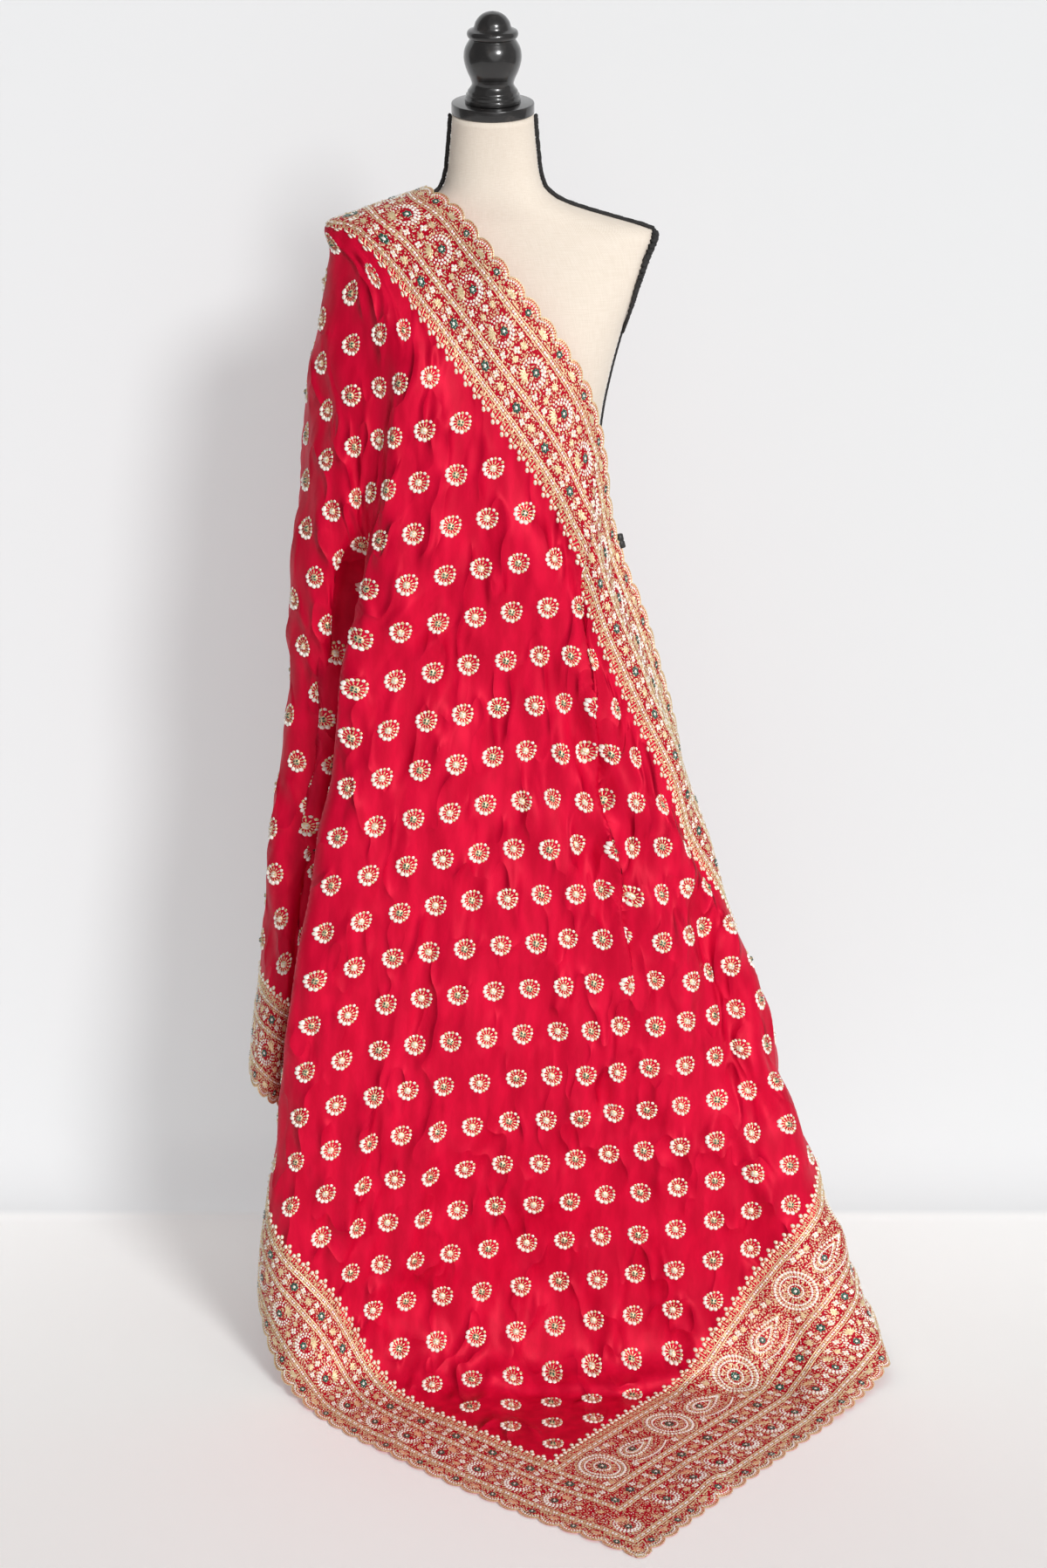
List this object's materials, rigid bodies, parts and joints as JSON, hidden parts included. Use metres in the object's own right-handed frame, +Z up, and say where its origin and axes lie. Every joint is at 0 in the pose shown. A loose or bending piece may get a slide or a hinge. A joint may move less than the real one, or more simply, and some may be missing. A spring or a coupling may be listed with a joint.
{
  "type": "satin sari on a dress form",
  "caption": "Satin sari with wide scalloped borders, draped over one shoulder of a limbless dress form on a pole stand, its pallu spread on the floor in front.",
  "frame": {"origin": "centre of the round base's underside, on the floor", "axes": "+Z up the stand's pole; the front of the sari faces -Y; the shoulder it is draped over is on the -X side"},
  "size_m": [0.7914, 0.9151, 1.6346],
  "materials": {
    "satin": "crimson satin, soft sheen",
    "embroidered_border": "crimson satin under gold thread, white and dark green stones",
    "form_cover": "cream woven cotton",
    "turned_wood": "black lacquer, satin gloss",
    "braid": "chunky woven black braid",
    "pole_steel": "plain dark paint",
    "clip_plastic": "plain dark"
  },
  "bodies": {
    "root": {"pallu_end_border": "embroidered_border", "front_panel_body": "satin", "front_panel_neck_border": "embroidered_border", "front_panel_hem_border": "embroidered_border", "side_fall_body": "satin", "side_fall_neck_border": "embroidered_border", "side_fall_hem_border": "embroidered_border", "back_fall_body": "satin", "back_fall_neck_border": "embroidered_border", "back_fall_hem_border": "embroidered_border", "torso": "form_cover", "neck_disc": "turned_wood", "finial": "turned_wood", "shoulder_braid_left": "braid", "shoulder_braid_right": "braid", "armhole_braid_front": "braid", "armhole_braid_back": "braid", "side_seam_braid": "braid", "stand_base": "turned_wood", "stand_pole": "pole_steel", "stand_collar": "turned_wood", "waist_clip": "clip_plastic"}
  },
  "joints": []
}
